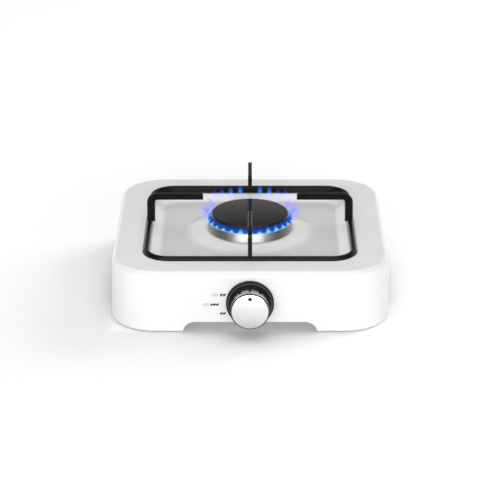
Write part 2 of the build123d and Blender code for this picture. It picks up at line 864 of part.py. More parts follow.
# Plug: the turning cone, with a slot for the stem and a port that meets the inlet when open
with BuildPart() as tap_plug:
    plug_section = [
        (0, plug_front_y),
        (plug_front_radius, plug_front_y),
        (plug_rear_radius, plug_rear_y),
        (0, plug_rear_y),
    ]
    revolve(section(turning_plane, plug_section), axis=tap_axis)
    with BuildSketch(front_plane(plug_front_y)):
        Rectangle(tang_thickness + 2 * slot_clearance, tang_width + 2 * slot_clearance)
    extrude(amount=-slot_depth, mode=Mode.SUBTRACT)
    with BuildSketch(front_plane(plug_rear_y)):
        Circle(plug_port_radius)
    extrude(amount=plug_rear_y - inlet_y, mode=Mode.SUBTRACT)
    with BuildSketch(Plane(origin=(0, inlet_y, tap_height), z_dir=(0, 0, -1))):
        Circle(plug_port_radius)
    extrude(amount=plug_front_radius + overrun, mode=Mode.SUBTRACT)
save(tap_plug, "tap_plug")

# Stem: a D-ended shaft with a collar, and a flat tang that slides in the plug
with BuildPart() as tap_stem:
    stem_section = [
        (0, stem_front_y),
        (stem_radius, stem_front_y),
        (stem_radius, collar_front_y),
        (collar_radius, collar_front_y),
        (collar_radius, collar_rear_y),
        (stem_radius, collar_rear_y),
        (stem_radius, stem_rear_y),
        (0, stem_rear_y),
    ]
    revolve(section(turning_plane, stem_section), axis=tap_axis)
    with BuildSketch(front_plane(stem_rear_y)):
        Rectangle(tang_thickness, tang_width)
    extrude(amount=stem_rear_y - tang_end_y)
    with BuildSketch(front_plane(stem_front_y)):
        with Locations((0, stem_flat)):
            Rectangle(2 * stem_radius, stem_radius, align=(Align.CENTER, Align.MIN))
    extrude(amount=-(knob_rear_y - stem_front_y + stem_flat_spare), mode=Mode.SUBTRACT)
save(tap_stem, "tap_stem")

# Return spring round the stem, a coil of tangent arcs
def coil_point(turn):
    return Vector(
        spring_coil_radius * cos(2 * pi * turn),
        spring_start_y + spring_pitch * turn,
        tap_height + spring_coil_radius * sin(2 * pi * turn),
    )


def coil_heading(turn):
    return Vector(
        -2 * pi * spring_coil_radius * sin(2 * pi * turn),
        spring_pitch,
        2 * pi * spring_coil_radius * cos(2 * pi * turn),
    ).normalized()


spring_start_y = collar_rear_y + spring_wire_radius + spring_end_gap
spring_end_y = plug_front_y - spring_wire_radius - spring_end_gap
spring_pitch = (spring_end_y - spring_start_y) / spring_turns
with BuildPart() as tap_spring:
    with BuildLine() as coil:
        for half in range(2 * spring_turns):
            begin, end = coil_point(half / 2), coil_point((half + 1) / 2)
            leave, arrive = coil_heading(half / 2), coil_heading((half + 1) / 2)
            chord = end - begin
            bend = leave + arrive
            # each half turn is two arcs that meet half way on equal tangents
            square = 4 - bend.dot(bend)
            along = chord.dot(bend)
            reach = (sqrt(along**2 + square * chord.dot(chord)) - along) / square
            middle = (begin + end + (leave - arrive) * reach) / 2
            TangentArc(begin, middle, tangent=leave)
            TangentArc(middle, end, tangent=chord - bend * reach)
    with BuildSketch(Plane(origin=coil_point(0), z_dir=coil_heading(0))):
        Circle(spring_wire_radius)
    sweep(path=coil.line)
turn_gap = min((coil_point(step / 8) - coil_point(step / 8 + 1)).length for step in range(8 * spring_turns - 8))
print("least gap of the spring to itself", turn_gap - 2 * spring_wire_radius)
save(tap_spring, "tap_spring")

# Gas jet in the tap's outlet
with BuildPart() as injector:
    with BuildSketch(front_plane(outlet_end_y)):
        RegularPolygon(injector_hex / 2, 6, major_radius=False)
    extrude(amount=-injector_hex_length)
    shank_start_y = outlet_end_y - injector_shank_length
    shank_section = [
        (0, shank_start_y),
        (injector_shank_radius, shank_start_y),
        (injector_shank_radius, injector_hex_end_y),
        (injector_nose_radius, injector_hex_end_y),
        (injector_tip_radius, injector_tip_y),
        (0, injector_tip_y),
    ]
    revolve(section(turning_plane, shank_section), axis=tap_axis)
    feed_section = [
        (0, shank_start_y - overrun),
        (injector_feed_radius, shank_start_y - overrun),
        (injector_feed_radius, injector_hex_end_y),
        (jet_radius, injector_tip_y - jet_length),
        (jet_radius, injector_tip_y + overrun),
        (0, injector_tip_y + overrun),
    ]
    revolve(section(turning_plane, feed_section), axis=tap_axis, mode=Mode.SUBTRACT)
save(injector, "injector")

# Bezel: dished ring with two pegs through the skirt
with BuildPart() as knob_bezel:
    rim_front_y = front_y - bezel_depth
    bezel_section = [
        (bezel_hole_radius, front_y),
        (bezel_radius, front_y),
        (bezel_radius, rim_front_y),
        (bezel_radius - bezel_rim, rim_front_y),
        (bezel_radius - bezel_rim, bezel_face_y),
        (bezel_hole_radius, bezel_face_y),
    ]
    revolve(section(turning_plane, bezel_section), axis=tap_axis)
    fillet(knob_bezel.edges().group_by(Axis.Y)[0].sort_by(SortBy.LENGTH)[-1], bezel_edge_radius)
    with BuildSketch(front_plane(front_y)):
        with GridLocations(0, bezel_peg_spacing, 1, 2):
            Circle(bezel_peg_radius)
    extrude(amount=-bezel_peg_length)
save(knob_bezel, "knob_bezel")

# Knob: hollow drum with a hub and ribs
with BuildPart() as knob_body:
    skirt_front_y = knob_rear_y - knob_skirt_length
    drum_section = [
        (0, knob_rear_y),
        (knob_skirt_radius, knob_rear_y),
        (knob_skirt_radius, skirt_front_y),
        (knob_skirt_radius - knob_skirt_chamfer, skirt_front_y - knob_skirt_chamfer),
        (knob_neck_radius, skirt_front_y - knob_skirt_chamfer),
        (knob_neck_radius, face_rear_y + face_fit),
        (knob_drum_radius, face_rear_y + face_fit),
        (knob_drum_radius, knob_body_front_y),
        (0, knob_body_front_y),
    ]
    revolve(section(turning_plane, drum_section), axis=tap_axis)
    drum_inner = knob_drum_radius - knob_drum_wall
    with BuildSketch(front_plane(knob_rear_y)):
        Circle(drum_inner)
        Circle(knob_hub_radius, mode=Mode.SUBTRACT)
        with PolarLocations((drum_inner + knob_hub_radius) / 2, knob_rib_count):
            Rectangle(drum_inner - knob_hub_radius + overrun, knob_rib_thickness, mode=Mode.SUBTRACT)
    extrude(amount=knob_rear_y - hub_floor_y, mode=Mode.SUBTRACT)
    hub_flat = stem_flat + clip_thickness + 2 * clip_fit
    with BuildSketch(front_plane(knob_rear_y)):
        Circle(stem_radius + clip_fit)
        with Locations((0, hub_flat)):
            Rectangle(
                2 * stem_radius, stem_radius, align=(Align.CENTER, Align.MIN), mode=Mode.SUBTRACT
            )
    extrude(amount=knob_rear_y - hub_floor_y, mode=Mode.SUBTRACT)
save(knob_body, "knob_body")

# Metal cap of the knob, slightly domed, grooved round its side
with BuildPart() as knob_face:
    with BuildSketch(turning_plane):
        with BuildLine():
            face_inner_radius = knob_drum_radius + face_fit
            Polyline(
                (0, knob_front_y),
                (0, face_inner_y),
                (face_inner_radius, face_inner_y),
                (face_inner_radius, face_rear_y),
                (face_radius, face_rear_y),
                (face_radius, face_rim_y + face_edge),
                (face_radius - face_edge, face_rim_y),
            )
            TangentArc((0, knob_front_y), (face_radius - face_edge, face_rim_y), tangent=(1, 0))
        make_face()
    revolve(axis=tap_axis)
    with BuildSketch(front_plane(face_rear_y)):
        with PolarLocations(face_radius, face_groove_count):
            Rectangle(2 * face_groove_depth, face_groove_width)
    extrude(amount=face_groove_length, mode=Mode.SUBTRACT)
    with BuildSketch(front_plane(knob_front_y)):
        with Locations((0, dot_offset)):
            Circle(dot_radius)
    extrude(amount=-dot_depth, mode=Mode.SUBTRACT)
save(knob_face, "knob_face")

with BuildPart() as pointer_dot:
    with BuildSketch(front_plane(knob_front_y + dot_depth)):
        with Locations((0, dot_offset)):
            Circle(dot_radius)
    extrude(amount=dot_depth / 2)
save(pointer_dot, "pointer_dot")

# Leaf that wedges the hub on the stem's flat, with a tail over the hub's end
with BuildPart() as knob_clip:
    leaf_level = stem_flat + clip_fit + clip_thickness / 2
    leaf_section = bent_strip(
        Plane(origin=(0, 0, tap_height), x_dir=(0, 1, 0), z_dir=(1, 0, 0)),
        [
            (knob_rear_y - clip_length, leaf_level),
            (knob_rear_y + clip_thickness / 2 + clip_fit, leaf_level),
            (knob_rear_y + clip_thickness / 2 + clip_fit, leaf_level + clip_tail),
        ],
        clip_thickness,
        clip_thickness,
    )
    extrude(leaf_section, amount=clip_width / 2, both=True)
save(knob_clip, "knob_clip")

# Supply pipe from the inlet round to the tap
with BuildPart() as gas_pipe:
    with BuildLine() as pipe_route:
        FilletPolyline(
            (inlet_boss_reach, inlet_y, tap_height),
            (pipe_offset, inlet_y, tap_height),
            (pipe_offset, inlet_socket_end_y, tap_height),
            radius=pipe_bend_radius,
        )
    with BuildSketch(Plane(origin=(inlet_boss_reach, inlet_y, tap_height), z_dir=(1, 0, 0))):
        Circle(pipe_radius)
        Circle(pipe_radius - pipe_wall, mode=Mode.SUBTRACT)
    sweep(path=pipe_route.line)
save(gas_pipe, "gas_pipe")

with BuildPart() as pipe_nut:
    nut_start_x = inlet_boss_reach - pipe_nut_cover
    with BuildSketch(Plane(origin=(nut_start_x, inlet_y, tap_height), z_dir=(1, 0, 0))):
        RegularPolygon(pipe_nut_hex / 2, 6, major_radius=False)
        Circle(pipe_radius + pipe_fit, mode=Mode.SUBTRACT)
    extrude(amount=pipe_nut_length)
    with BuildSketch(Plane(origin=(nut_start_x, inlet_y, tap_height), z_dir=(1, 0, 0))):
        Circle(inlet_boss_radius + pipe_fit)
    extrude(amount=pipe_nut_cover, mode=Mode.SUBTRACT)
save(pipe_nut, "pipe_nut")

# Inlet through the rear skirt: hex collar, outer stub and a shank that takes the pipe
with BuildPart() as gas_inlet:
    with BuildSketch(pipe_plane(rear_y)):
        RegularPolygon(inlet_hex / 2, 6, major_radius=False)
    extrude(amount=inlet_hex_length)
    with BuildSketch(pipe_plane(inlet_shank_end_y)):
        Circle(inlet_thread_radius)
    extrude(amount=inlet_stub_end_y - inlet_shank_end_y)
    chamfer(gas_inlet.edges().group_by(Axis.Y)[-1], inlet_stub_chamfer)
    with BuildSketch(pipe_plane(inlet_shank_end_y)):
        Circle(pipe_radius + pipe_fit)
    extrude(amount=inlet_socket_depth, mode=Mode.SUBTRACT)
    with BuildSketch(pipe_plane(inlet_shank_end_y)):
        Circle(inlet_passage_radius)
    extrude(amount=inlet_stub_end_y - inlet_shank_end_y + overrun, mode=Mode.SUBTRACT)
save(gas_inlet, "gas_inlet")

with BuildPart() as inlet_washer:
    with BuildSketch(pipe_plane(washer_face_y)):
        Circle(washer_radius)
        Circle(inlet_thread_radius + inlet_fit, mode=Mode.SUBTRACT)
    extrude(amount=washer_thickness)
save(inlet_washer, "inlet_washer")

with BuildPart() as inlet_locknut:
    with BuildSketch(pipe_plane(locknut_face_y)):
        RegularPolygon(locknut_hex / 2, 6, major_radius=False)
        Circle(inlet_thread_radius + inlet_fit, mode=Mode.SUBTRACT)
    extrude(amount=locknut_length)
save(inlet_locknut, "inlet_locknut")
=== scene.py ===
import json
import math
import random

import bmesh
import bpy
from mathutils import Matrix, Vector


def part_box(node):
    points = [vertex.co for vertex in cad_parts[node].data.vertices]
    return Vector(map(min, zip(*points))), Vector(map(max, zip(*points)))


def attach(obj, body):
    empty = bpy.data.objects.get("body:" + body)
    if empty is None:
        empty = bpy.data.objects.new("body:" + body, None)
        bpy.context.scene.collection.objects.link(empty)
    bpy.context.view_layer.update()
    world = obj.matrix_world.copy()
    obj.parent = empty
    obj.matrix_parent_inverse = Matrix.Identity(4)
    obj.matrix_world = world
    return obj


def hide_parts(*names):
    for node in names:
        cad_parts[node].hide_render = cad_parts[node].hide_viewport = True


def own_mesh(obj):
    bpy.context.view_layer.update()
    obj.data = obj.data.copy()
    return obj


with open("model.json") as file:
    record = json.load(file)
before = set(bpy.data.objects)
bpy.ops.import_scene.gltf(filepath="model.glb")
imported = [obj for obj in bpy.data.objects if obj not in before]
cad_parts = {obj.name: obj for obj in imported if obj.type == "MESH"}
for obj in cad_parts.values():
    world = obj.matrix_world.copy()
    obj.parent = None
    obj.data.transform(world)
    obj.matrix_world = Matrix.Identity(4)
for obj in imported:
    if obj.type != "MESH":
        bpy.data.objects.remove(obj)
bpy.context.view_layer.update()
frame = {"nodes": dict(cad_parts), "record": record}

nodes = frame["nodes"]
scene = bpy.context.scene
scene.view_settings.view_transform = "Standard"
print("frame loaded with", len(nodes), "nodes")


# small helpers for shader trees: an input is a number, a colour or another node's socket
def feed(tree, socket, value):
    if isinstance(value, bpy.types.NodeSocket):
        tree.links.new(value, socket)
    else:
        socket.default_value = value


def addNode(tree, kind, inputs=None, **settings):
    node = tree.nodes.new("ShaderNode" + kind)
    for key, value in settings.items():
        setattr(node, key, value)
    for key, value in (inputs or {}).items():
        feed(tree, node.inputs[key], value)
    return node


def startFinish(name, surface):
    material = bpy.data.materials.new(name)
    material.use_nodes = True
    tree = material.node_tree
    shader = tree.nodes["Principled BSDF"]
    for key, value in surface.items():
        shader.inputs[key].default_value = value
    return material, tree, shader


def startBare(name):
    # a material without a shader, and the socket that takes one
    material = bpy.data.materials.new(name)
    material.use_nodes = True
    tree = material.node_tree
    tree.nodes.clear()
    return material, tree, addNode(tree, "OutputMaterial").inputs["Surface"]


def grey(shade):
    return (shade, shade, shade, 1.0)


def place(tree):
    return addNode(tree, "TexCoord").outputs["Object"]


def grain(tree, coords, scale, detail=2.0, rough=0.5):
    inputs = {"Vector": coords, "Scale": scale, "Detail": detail, "Roughness": rough}
    return addNode(tree, "TexNoise", inputs).outputs["Fac"]


def spread(tree, value, low, high, fromLow=0.3, fromHigh=0.7):
    inputs = {"Value": value, "From Min": fromLow, "From Max": fromHigh, "To Min": low, "To Max": high}
    return addNode(tree, "MapRange", inputs).outputs["Result"]


def mixShades(tree, share, first, second):
    mix = addNode(tree, "Mix", data_type="RGBA")
    for socket, value in ((0, share), (6, first), (7, second)):  # the sockets that serve colours
        feed(tree, mix.inputs[socket], value)
    return mix.outputs[2]


def mixDirections(tree, share, first, second):
    mix = addNode(tree, "Mix", data_type="VECTOR")
    for socket, value in ((0, share), (4, first), (5, second)):  # the sockets that serve vectors
        feed(tree, mix.inputs[socket], value)
    return mix.outputs[1]


def tint(tree, value, dark, light, fromLow=0.3, fromHigh=0.7):
    return mixShades(tree, spread(tree, value, 0.0, 1.0, fromLow, fromHigh), dark, light)


def dent(tree, height, strength, distance, under=None):
    inputs = {"Height": height, "Strength": strength, "Distance": distance}
    if under is not None:
        inputs["Normal"] = under
    return addNode(tree, "Bump", inputs).outputs["Normal"]


def sums(tree, operation, first, second=0.0):
    node = addNode(tree, "Math", operation=operation)
    feed(tree, node.inputs[0], first)
    feed(tree, node.inputs[1], second)
    return node.outputs["Value"]


def vectors(tree, operation, *values):
    node = addNode(tree, "VectorMath", operation=operation)
    for socket, value in zip(node.inputs, values):
        feed(tree, socket, value)
    return node.outputs["Value" if operation in ("DOT_PRODUCT", "LENGTH") else "Vector"]


def splitAxes(tree, vector):
    return addNode(tree, "SeparateXYZ", {"Vector": vector}).outputs


wearAndSheenEdges = {"samples": 4, "sharp": 0.75, "flat": 0.995}


def edgeMask(tree, radius):
    # 0 on flat faces, towards 1 on the edges, which get a painted highlight as well as rubbed wear
    soft = addNode(tree, "Bevel", {"Radius": radius}, samples=wearAndSheenEdges["samples"]).outputs["Normal"]
    hard = addNode(tree, "NewGeometry").outputs["Normal"]
    match = vectors(tree, "DOT_PRODUCT", soft, hard)
    return spread(tree, match, 1.0, 0.0, wearAndSheenEdges["sharp"], wearAndSheenEdges["flat"])


def aroundAxis(tree, coords, centre, axis):
    # distance from a turning axis, and the run along it
    offset = vectors(tree, "SUBTRACT", coords, centre)
    along = vectors(tree, "DOT_PRODUCT", offset, axis)
    across = vectors(tree, "MULTIPLY", offset, [1.0 - abs(part) for part in axis])
    return vectors(tree, "LENGTH", across), along


def crowned(tree, distance, radius, rise):
    # lets a flat disc catch the light as if it were slightly domed
    share = sums(tree, "DIVIDE", distance, radius)
    return dent(tree, sums(tree, "MULTIPLY", share, sums(tree, "MULTIPLY", share, -1.0)), 1.0, rise)


def domeNormal(tree, coords, centre, radius, where):
    # normal of a shallow dome that faces the front, and the mesh's own one elsewhere
    offset = vectors(tree, "SUBTRACT", coords, centre)
    lean = vectors(tree, "MULTIPLY_ADD", offset, (1.0 / radius, 0.0, 1.0 / radius), (0.0, -1.0, 0.0))
    turned = addNode(tree, "VectorTransform", {"Vector": lean}, vector_type="NORMAL")
    turned.convert_from, turned.convert_to = "OBJECT", "WORLD"
    unit = vectors(tree, "NORMALIZE", turned.outputs["Vector"])
    return mixDirections(tree, where, addNode(tree, "NewGeometry").outputs["Normal"], unit)


def toolLines(tree, distance, along, pitch):
    # fine lines that a lathe leaves, one noise step per pitch
    run = sums(tree, "ADD", sums(tree, "DIVIDE", distance, pitch), sums(tree, "DIVIDE", along, pitch))
    lines = addNode(tree, "TexNoise", {"W": run, "Scale": 1.0, "Detail": 3.0}, noise_dimensions="1D")
    return lines.outputs["Fac"]


# finishes: each noise is scale and detail, each dent is strength and depth

# white vitreous enamel of the body
bodyEnamel = {
    "paleShade": (0.845, 0.845, 0.84, 1.0), "brightShade": (0.885, 0.885, 0.88, 1.0),
    "cloud": (14.0, 4.0), "peel": (900.0, 2.0), "ripple": (34.0, 1.0),
    "rough": (0.16, 0.24), "peelDent": (0.03, 0.0002), "rippleDent": (0.04, 0.002),
    "hemShade": (0.84, 0.84, 0.845, 1.0), "hemLow": 0.0016, "hemHigh": 0.0024,
    # painted shade on the bottom of the well: its colour, its reach and the heights where it fades
    "wellShade": (0.73, 0.73, 0.725, 1.0), "wellHalf": (0.125, 0.115),
    "wellLow": 0.0588, "wellHigh": 0.0605,
    "surface": {"Coat Weight": 0.5, "Coat Roughness": 0.06, "Coat IOR": 1.5, "IOR": 1.5},
}


def makeBodyEnamel():
    look = bodyEnamel
    material, tree, shader = startFinish("whiteEnamel", look["surface"])
    coords = place(tree)
    colour = tint(tree, grain(tree, coords, *look["cloud"]), look["paleShade"], look["brightShade"])
    axes = splitAxes(tree, coords)
    # painted shade: the bottom of the well is darker, where its recess is shaded
    paintedWellShade = spread(tree, axes["Z"], 1.0, 0.0, look["wellLow"], look["wellHigh"])
    for axis, half in zip("XY", look["wellHalf"]):
        within = sums(tree, "LESS_THAN", sums(tree, "ABSOLUTE", axes[axis]), half)
        paintedWellShade = sums(tree, "MULTIPLY", paintedWellShade, within)
    colour = mixShades(tree, paintedWellShade, colour, look["wellShade"])
    # a little darker along the bottom edge
    hem = spread(tree, axes["Z"], 0.0, 1.0, look["hemLow"], look["hemHigh"])
    feed(tree, shader.inputs["Base Color"], mixShades(tree, hem, look["hemShade"], colour))
    peel = grain(tree, coords, *look["peel"])
    feed(tree, shader.inputs["Roughness"], spread(tree, peel, *look["rough"]))
    skin = dent(tree, grain(tree, coords, *look["ripple"]), *look["rippleDent"])
    feed(tree, shader.inputs["Normal"], dent(tree, peel, *look["peelDent"], skin))
    return material


# satin black enamel of the pan support
supportEnamel = {
    "darkShade": (0.002, 0.002, 0.0022, 1.0), "lightShade": (0.006, 0.006, 0.0063, 1.0),
    "wearAndSheenShade": (0.050, 0.050, 0.051, 1.0), "edgeWidth": 0.0007,
    "cloud": (60.0, 5.0), "fine": (1600.0, 2.0), "rough": (0.14, 0.22), "fineDent": (0.05, 0.0001),
    "surface": {"Specular IOR Level": 0.20},
}


def makeSupportEnamel():
    look = supportEnamel
    material, tree, shader = startFinish("supportEnamel", look["surface"])
    coords = place(tree)
    cloud = grain(tree, coords, *look["cloud"])
    colour = tint(tree, cloud, look["darkShade"], look["lightShade"])
    # painted highlight and rubbed wear along the edges
    wearAndSheen = mixShades(tree, edgeMask(tree, look["edgeWidth"]), colour, look["wearAndSheenShade"])
    feed(tree, shader.inputs["Base Color"], wearAndSheen)
    feed(tree, shader.inputs["Roughness"], spread(tree, cloud, *look["rough"]))
    feed(tree, shader.inputs["Normal"], dent(tree, grain(tree, coords, *look["fine"]), *look["fineDent"]))
    return material


# glossier black enamel of the burner cap
burnerAxis = ((0.0, 0.0, 0.0), (0.0, 0.0, 1.0))  # a point on it, and its direction
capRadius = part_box("burner_cap")[1].x
capEnamel = {
    "darkShade": (0.007, 0.007, 0.007, 1.0), "lightShade": (0.014, 0.014, 0.0135, 1.0),
    "cloud": (45.0, 4.0), "speck": (900.0, 3.0), "speckBase": 0.5,
    "rough": (0.12, 0.18), "speckDent": (0.03, 0.0001), "crowning": 0.0016,
    "surface": {"Specular IOR Level": 0.4},
}


def makeCapEnamel():
    look = capEnamel
    material, tree, shader = startFinish("capEnamel", look["surface"])
    coords = place(tree)
    cloud = grain(tree, coords, *look["cloud"])
    speck = grain(tree, coords, *look["speck"])
    both = sums(tree, "MULTIPLY", cloud, sums(tree, "ADD", speck, look["speckBase"]))
    feed(tree, shader.inputs["Base Color"], tint(tree, both, look["darkShade"], look["lightShade"]))
    feed(tree, shader.inputs["Roughness"], spread(tree, cloud, *look["rough"]))
    distance = aroundAxis(tree, coords, *burnerAxis)[0]
    dome = crowned(tree, distance, capRadius, look["crowning"])
    feed(tree, shader.inputs["Normal"], dent(tree, speck, *look["speckDent"], dome))
    return material


# bare metals: shade, roughness span, scale of the grain and its dent
metals = {
    "drawn_aluminium": {
        "shade": (0.72, 0.72, 0.72), "rough": (0.25, 0.4), "grain": 500.0, "dent": (0.05, 0.0002),
    },
    "zinc_steel": {
        "shade": (0.5335, 0.5445, 0.55), "rough": (0.3, 0.5), "grain": 120.0, "dent": (0.04, 0.0002),
    },
    "tap_brass": {
        "shade": (0.78, 0.6084, 0.3276), "rough": (0.22, 0.38), "grain": 700.0, "dent": (0.05, 0.0002),
    },
    "steel_pipe": {
        "shade": (0.6, 0.6, 0.6), "rough": (0.2, 0.35), "grain": 400.0, "dent": (0.04, 0.0002),
    },
    "bright_steel": {
        "shade": (0.66, 0.66, 0.6666), "rough": (0.15, 0.3), "grain": 900.0, "dent": (0.05, 0.0002),
    },
}
metalGrain = {"cloudSize": 8.0, "detail": 3.0, "uneven": 0.6, "darkShare": 0.82}


def makeMetal(name, look):
    material, tree, shader = startFinish(name, {"Metallic": 1.0})
    coords = place(tree)
    cloud = grain(tree, coords, look["grain"] / metalGrain["cloudSize"], metalGrain["detail"])
    fine = grain(tree, coords, look["grain"], metalGrain["detail"], metalGrain["uneven"])
    light = (*look["shade"], 1.0)
    dark = (*(part * metalGrain["darkShare"] for part in look["shade"]), 1.0)
    feed(tree, shader.inputs["Base Color"], tint(tree, cloud, dark, light))
    feed(tree, shader.inputs["Roughness"], spread(tree, fine, *look["rough"]))
    feed(tree, shader.inputs["Normal"], dent(tree, fine, *look["dent"]))
    return material


# turned casting of the burner, with tool lines round the axis
burnerMetal = {
    "darkShade": (0.46, 0.46, 0.455, 1.0), "lightShade": (0.56, 0.56, 0.555, 1.0),
    "linePitch": 0.00022, "lineDent": (0.015, 0.00005), "rough": (0.33, 0.42), "draft": 0.25,
    "surface": {"Metallic": 1.0, "Anisotropic": 0.72, "Anisotropic Rotation": 0.25},
}


def makeBurnerMetal():
    look = burnerMetal
    material, tree, shader = startFinish("turnedCasting", look["surface"])
    distance, along = aroundAxis(tree, place(tree), *burnerAxis)
    lines = toolLines(tree, distance, along, look["linePitch"])
    feed(tree, shader.inputs["Base Color"], tint(tree, lines, look["darkShade"], look["lightShade"]))
    feed(tree, shader.inputs["Roughness"], spread(tree, lines, *look["rough"]))
    lean = dent(tree, sums(tree, "MULTIPLY", along, -1.0), 1.0, look["draft"])
    feed(tree, shader.inputs["Normal"], dent(tree, lines, *look["lineDent"], lean))
    ringwise = addNode(tree, "Tangent", direction_type="RADIAL", axis="Z")
    feed(tree, shader.inputs["Tangent"], ringwise.outputs["Tangent"])
    return material


# spun metal cap of the knob, and the dot set in it
knobLow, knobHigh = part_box("knob_face")
knobAxis = ((0.0, 0.0, (knobLow.z + knobHigh.z) / 2), (0.0, 1.0, 0.0))
knobRadius = (knobHigh.x - knobLow.x) / 2
dotLow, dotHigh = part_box("pointer_dot")
dotAxis = (tuple((dotLow + dotHigh) / 2), (0.0, 1.0, 0.0))
dotRadius = (dotHigh.x - dotLow.x) / 2
knobMetal = {
    "notchShade": (0.006, 0.006, 0.0065, 1.0), "notchDepth": 0.0004, "frontBand": 0.0030,
    "sideShade": (0.30, 0.30, 0.305, 1.0),
    "rimShade": (0.09, 0.09, 0.092, 1.0), "rimWidth": 0.0015, "rimDepth": 0.0018, "dotShadowRing": 0.0004,
    "darkShade": (0.82, 0.82, 0.82, 1.0), "lightShade": (0.88, 0.88, 0.88, 1.0),
    "linePitch": 0.00030, "lineDent": (0.02, 0.00005), "rough": (0.15, 0.22), "domeRadius": 0.042,
    "surface": {"Metallic": 1.0},
}


def makeKnobMetal():
    look = knobMetal
    material, tree, shader = startFinish("spunKnobMetal", look["surface"])
    coords = place(tree)
    distance, along = aroundAxis(tree, coords, *knobAxis)
    lines = toolLines(tree, distance, along, look["linePitch"])
    metal = tint(tree, lines, look["darkShade"], look["lightShade"])
    # the notches lie deeper than the side, and start behind the front edge
    deep = sums(tree, "LESS_THAN", distance, knobRadius - look["notchDepth"])
    behind = sums(tree, "GREATER_THAN", along, knobLow.y + look["frontBand"])
    # painted shade: the metal behind the front band is darker
    metal = mixShades(tree, behind, metal, look["sideShade"])
    metal = mixShades(tree, sums(tree, "MULTIPLY", deep, behind), metal, look["notchShade"])
    # dark rim round the dome: a seam, with painted reflection of the shade under the knob; and a painted
    # shadow ring round the dot, as round a recess
    inside = sums(tree, "LESS_THAN", distance, knobRadius - look["rimWidth"])
    infront = sums(tree, "LESS_THAN", along, knobLow.y + look["rimDepth"])
    rim = sums(tree, "MULTIPLY", sums(tree, "SUBTRACT", 1.0, inside), infront)
    fromDot = aroundAxis(tree, coords, *dotAxis)[0]
    rim = sums(tree, "MAXIMUM", rim, sums(tree, "LESS_THAN", fromDot, dotRadius + look["dotShadowRing"]))
    feed(tree, shader.inputs["Base Color"], mixShades(tree, rim, metal, look["rimShade"]))
    feed(tree, shader.inputs["Roughness"], spread(tree, lines, *look["rough"]))
    onDome = sums(tree, "MULTIPLY", inside, infront)
    dome = domeNormal(tree, coords, knobAxis[0], look["domeRadius"], onDome)
    feed(tree, shader.inputs["Normal"], dent(tree, lines, *look["lineDent"], dome))
    return material


# moulded plastics and rubber: shades, lighter edge (painted highlight and rubbed wear), roughness span,
# scale of the grain and its dent
mouldings = {
    "black_plastic": {
        "dark": 0.002, "light": 0.005, "edge": 0.11, "edgeWidth": 0.0004,
        "rough": (0.30, 0.45), "grain": 1500.0, "dent": (0.12, 0.0001),
    },
    "rubber": {
        "dark": 0.014, "light": 0.028, "edge": 0.04, "edgeWidth": 0.0004,
        "rough": (0.65, 0.85), "grain": 700.0, "dent": (0.2, 0.0001),
    },
}
mouldedGrain = {"cloudSize": 12.0, "cloudDetail": 3.0, "fineDetail": 2.0}
# painted highlight: the inner edge of the bezel's rim is paler
bezelRimHighlight = {
    "rimShade": 0.10, "rimDepth": 0.0006, "rimRadius": 0.0239, "rimFront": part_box("knob_bezel")[0].y,
}


def makeMoulding(name, look):
    material, tree, shader = startFinish(name, {"Specular IOR Level": 0.2})
    coords = place(tree)
    cloud = grain(tree, coords, look["grain"] / mouldedGrain["cloudSize"], mouldedGrain["cloudDetail"])
    fine = grain(tree, coords, look["grain"], mouldedGrain["fineDetail"])
    colour = tint(tree, cloud, grey(look["dark"]), grey(look["light"]))
    # painted highlight and rubbed wear along the edges
    colour = mixShades(tree, edgeMask(tree, look["edgeWidth"]), colour, grey(look["edge"]))
    # painted highlight on the inner edge of the bezel's rim
    if "rimShade" in look:
        distance, along = aroundAxis(tree, coords, *knobAxis)
        front = sums(tree, "LESS_THAN", along, look["rimFront"] + look["rimDepth"])
        inner = sums(tree, "LESS_THAN", distance, look["rimRadius"])
        colour = mixShades(tree, sums(tree, "MULTIPLY", front, inner), colour, grey(look["rimShade"]))
    feed(tree, shader.inputs["Base Color"], colour)
    feed(tree, shader.inputs["Roughness"], spread(tree, fine, *look["rough"]))
    feed(tree, shader.inputs["Normal"], dent(tree, fine, *look["dent"]))
    return material


# pointer dot: dark ring with a paler middle
pointerLook = {
    "middleShade": (0.11, 0.11, 0.115, 1.0), "ringShade": (0.006, 0.006, 0.0065, 1.0),
    "middleShare": 0.16, "ringShare": 0.38, "fleck": (1500.0, 2.0), "rough": (0.35, 0.5),
    "surface": {"Specular IOR Level": 0.4},
}


def makePointerFinish():
    look = pointerLook
    material, tree, shader = startFinish("pointerFinish", look["surface"])
    coords = place(tree)
    distance = aroundAxis(tree, coords, *dotAxis)[0]
    span = (look["middleShare"] * dotRadius, look["ringShare"] * dotRadius)
    colour = tint(tree, distance, look["middleShade"], look["ringShade"], *span)
    feed(tree, shader.inputs["Base Color"], colour)
    fleck = grain(tree, coords, *look["fleck"])
    feed(tree, shader.inputs["Roughness"], spread(tree, fleck, *look["rough"]))
    return material


finishes = {
    "white_enamel": makeBodyEnamel(),
    "black_enamel": makeSupportEnamel(),
    "cap_enamel": makeCapEnamel(),
    "cast_aluminium": makeBurnerMetal(),
    "knob_metal": makeKnobMetal(),
    "dot_plastic": makePointerFinish(),
}
for slotName, look in metals.items():
    finishes[slotName] = makeMetal(slotName, look)
for slotName, look in mouldings.items():
    finishes[slotName] = makeMoulding(slotName, look)
for part in frame["record"]["subparts"]:
    for materialSlot in nodes[part["node"]].material_slots:
        materialSlot.material = finishes[part["material_slot"]]
bezelPlastic = makeMoulding("bezelPlastic", {**mouldings["black_plastic"], **bezelRimHighlight})
for materialSlot in nodes["knob_bezel"].material_slots:
    materialSlot.material = bezelPlastic


